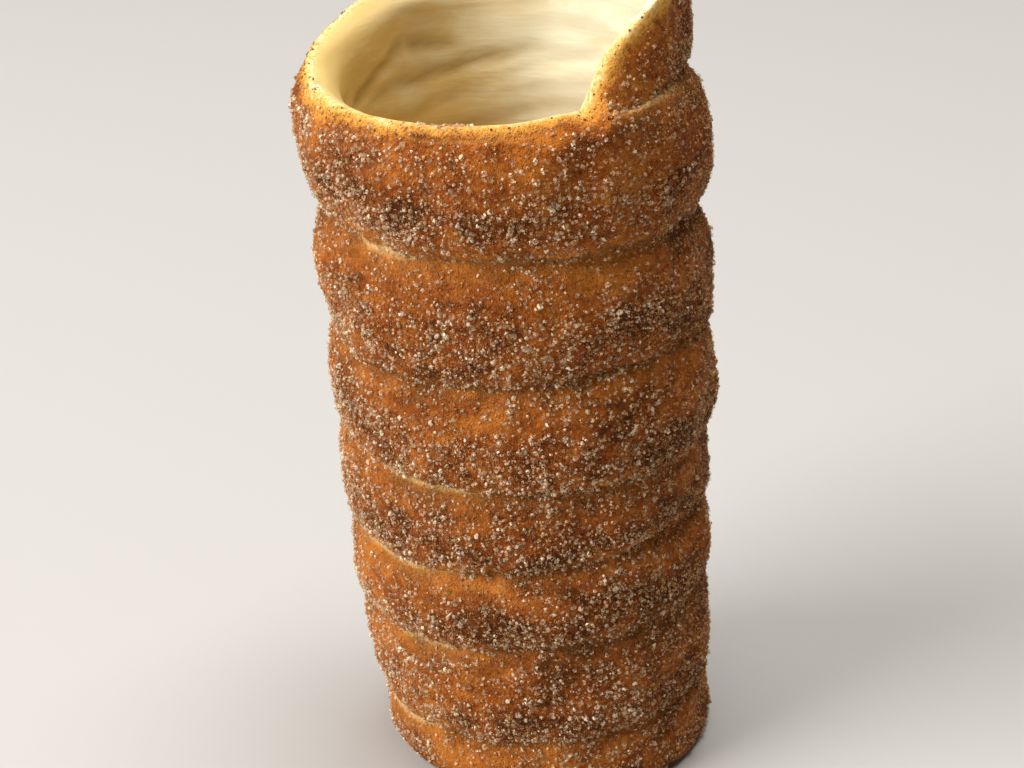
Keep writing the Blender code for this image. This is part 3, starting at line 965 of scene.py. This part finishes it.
def sugar_weight(wall):
    """How thick the sugar lies: a base that grows down each band, times two random
    fields for clumps, times the browning; less beside pale seams and near the rim,
    more along the front of the rim and in one clump on its crest."""
    place = wall.points
    clump = waves(place, *SUGAR_DRIFTS) + waves(place, *SUGAR_CLUMPS)
    front_top = np.exp(-((wall.rim - 7.0) / 3.0) ** 2) * around(wall.u, *FRONT_SUGAR)
    on_crest = np.exp(-(wall.over + 0.4) ** 2) * around(wall.u, *CREST_CLUMP)
    crust = smooth(browning(wall), 0.5, 1.0) * (0.30 + 0.70 * smooth(wall.rim, 3.0, 10.0))
    bare = pale_seams(wall) * np.exp(-((wall.wound.gap - 0.5) / 1.6) ** 2)
    crust = crust * (1 - 0.85 * bare * (np.cos(2 * np.pi * wall.wound.t) > 0))
    even = smooth(wall.wound.line, 1.4, 2.6)
    weight = 0.55 + 0.15 * even + (0.50 - 0.10 * even) * wall.lower
    weight = weight * np.clip(0.95 + 0.38 * clump, 0.35, 1.9)
    weight = (weight * crust + front_top) * wall.outside + on_crest * 3.0
    return weight * smooth(wall.z, SUGAR_START, SUGAR_FULL)


class OBJECT_OT_cake_sugar(bpy.types.Operator):
    """Scatter the sugar crystals over the crust, in a few batches"""
    bl_idname = "object.cake_sugar"
    bl_label = "Sugar Crystals"

    def execute(self, context):
        sizes = context.scene.cake_sugar
        wall = wall_grid()
        weight = sugar_weight(wall)
        material = sugar_material(context.scene.cake_colours)
        coarse = Grade(NUT, sizes.coarse_batch, sizes.middling, sizes.largest, 1.1, 3.0)
        fine = Grade(BOX, sizes.batch, sizes.smallest, sizes.middling, 0.55, 3.2)
        for batch in range(sizes.pieces):
            grade = coarse if batch < sizes.coarse_pieces else fine
            draw = np.random.default_rng(sizes.seed + batch)
            places, normals, i, j = scatter(wall, weight, grade.count, draw)
            share = draw.uniform(0, 1, grade.count) ** SIZE_POWER
            edge = (grade.low + (grade.high - grade.low) * share) * MM_PER_METRE
            edges = edge[:, None] * draw.uniform(0.62, 1.0, (grade.count, 3))
            points, faces = crystals(grade.shape, places, normals, edges, CRYSTAL_SINK,
                                     CRYSTAL_SKEW, draw)
            name = "sugar_crystals_%d" % (batch + 1)
            mesh = face_mesh(name, points, faces, False)
            tint = draw.uniform(0, 1, grade.count) ** grade.tint_power
            # Painted shade: crystals at the right are made browner
            tint = np.minimum(tint + 0.75 * around(wall.u[i, j], *RIGHT_SUGAR_PAINTED_SHADE), 1)
            corners, triangles = grade.shape
            keep(mesh, "tint", np.repeat(tint, len(corners)))
            # Painted highlights: a random share of each crystal's facets is made nearly opaque
            glint = draw.uniform(0, 1, (grade.count, len(triangles) // 2)) ** grade.glint_power
            keep(mesh, "glint", np.repeat(glint, 2), "FACE")
            add_piece(name, mesh, material)
        return {"FINISHED"}


class OBJECT_OT_cake_spice(bpy.types.Operator):
    """Scatter specks of ground cinnamon, most of them on the pale rim"""
    bl_idname = "object.cake_spice"
    bl_label = "Cinnamon Specks"

    def execute(self, context):
        sizes = context.scene.cake_sugar
        wall = wall_grid()
        draw = np.random.default_rng(sizes.seed + 100)
        rim = smooth(browning(wall), 0.12, 0.4) * (1 - smooth(wall.rim, 5.0, 14.0))
        weight = rim * (0.6 + 1.6 * around(wall.u, *RIM_SPECKS)) + 0.03
        weight = weight * wall.outside * smooth(wall.z, SUGAR_START, SUGAR_FULL)
        places, normals, _, _ = scatter(wall, weight, sizes.specks, draw)
        size = 0.18 + 0.34 * draw.uniform(0, 1, sizes.specks) ** 3
        edges = size[:, None] * draw.uniform(0.45, 1.0, (sizes.specks, 3))
        points, faces = crystals(BOX, places, normals, edges, 0.0, SPECK_SKEW, draw)
        mesh = face_mesh("cinnamon_specks", points, faces, False)
        keep(mesh, "tint", np.repeat(draw.uniform(0, 1, sizes.specks), len(BOX_CORNERS)))
        add_piece("cinnamon_specks", mesh, spice_material(context.scene.cake_colours))
        return {"FINISHED"}


class OBJECT_OT_cake_stage(bpy.types.Operator):
    """Set the pale floor, the soft lights and the camera"""
    bl_idname = "object.cake_stage"
    bl_label = "Stage"

    def execute(self, context):
        sizes = context.scene.cake_stage
        scene = context.scene
        half = FLOOR_HALF
        mesh = bpy.data.meshes.new("floor")
        mesh.from_pydata([(-half, -half, 0), (half, -half, 0), (half, half, 0),
                          (-half, half, 0)], [], [(0, 1, 2, 3)])
        floor = bpy.data.objects.new("floor", mesh)
        paint = Shader("pale_floor")
        paint.set(Base_Color=sizes.floor, Roughness=0.7)
        mesh.materials.append(paint.material)
        scene.collection.objects.link(floor)
        for name, place, edge, colour in LIGHTS:
            lamp = bpy.data.lights.new(name + "_light", "AREA")
            lamp.size = edge
            lamp.energy = getattr(sizes, name)
            lamp.color = colour
            light = bpy.data.objects.new(name + "_light", lamp)
            light.location = place
            aim = Vector(LIT_POINT) - Vector(place)
            light.rotation_euler = aim.to_track_quat("-Z", "Y").to_euler()
            scene.collection.objects.link(light)
        world = bpy.data.worlds.new("studio")
        world.use_nodes = True
        sky = world.node_tree.nodes["Background"]
        sky.inputs["Color"].default_value = (*SKY_COLOUR, 1.0)
        sky.inputs["Strength"].default_value = sizes.sky
        scene.world = world
        lens = bpy.data.cameras.new("camera")
        lens.sensor_width = 36.0
        lens.lens = sizes.lens
        camera = bpy.data.objects.new("camera", lens)
        camera.location = CAMERA_PLACE
        camera.rotation_euler = (math.radians(CAMERA_TILT), 0.0, 0.0)
        scene.collection.objects.link(camera)
        scene.camera = camera
        scene.view_settings.view_transform = "Standard"
        return {"FINISHED"}


class VIEW3D_PT_cake(bpy.types.Panel):
    """Sizes, colours and operators of the cake"""
    bl_label = "Chimney Cake"
    bl_idname = "VIEW3D_PT_cake"
    bl_space_type = "VIEW_3D"
    bl_region_type = "UI"
    bl_category = "Chimney Cake"

    def draw(self, context):
        scene = context.scene
        for group in (scene.cake_wall, scene.cake_sugar, scene.cake_colours, scene.cake_stage):
            box = self.layout.box()
            for name in group.bl_rna.properties.keys():
                if name not in ("rna_type", "name"):
                    box.prop(group, name)
        for operator in OPERATORS:
            self.layout.operator(operator.bl_idname)


OPERATORS = (OBJECT_OT_cake_wall, OBJECT_OT_cake_sugar, OBJECT_OT_cake_spice,
             OBJECT_OT_cake_stage)
GROUPS = {"cake_wall": CakeWallSizes, "cake_sugar": CakeSugarSizes,
          "cake_colours": CakeColours, "cake_stage": CakeStageSizes}
CLASSES = tuple(GROUPS.values()) + OPERATORS + (VIEW3D_PT_cake,)


def register():
    """Add the classes, and each group of settings to the scene."""
    for one in CLASSES:
        bpy.utils.register_class(one)
    for name, group in GROUPS.items():
        setattr(bpy.types.Scene, name, PointerProperty(type=group))


def unregister():
    """Take the settings and the classes away again."""
    for name in GROUPS:
        delattr(bpy.types.Scene, name)
    for one in reversed(CLASSES):
        bpy.utils.unregister_class(one)


def main():
    """Make every piece in order."""
    register()
    for thing in list(bpy.data.objects):
        if thing.type in {"LIGHT", "CAMERA"}:
            bpy.data.objects.remove(thing)
    bpy.ops.object.cake_wall()
    bpy.ops.object.cake_sugar()
    bpy.ops.object.cake_spice()
    bpy.ops.object.cake_stage()


if __name__ == "__main__":
    main()
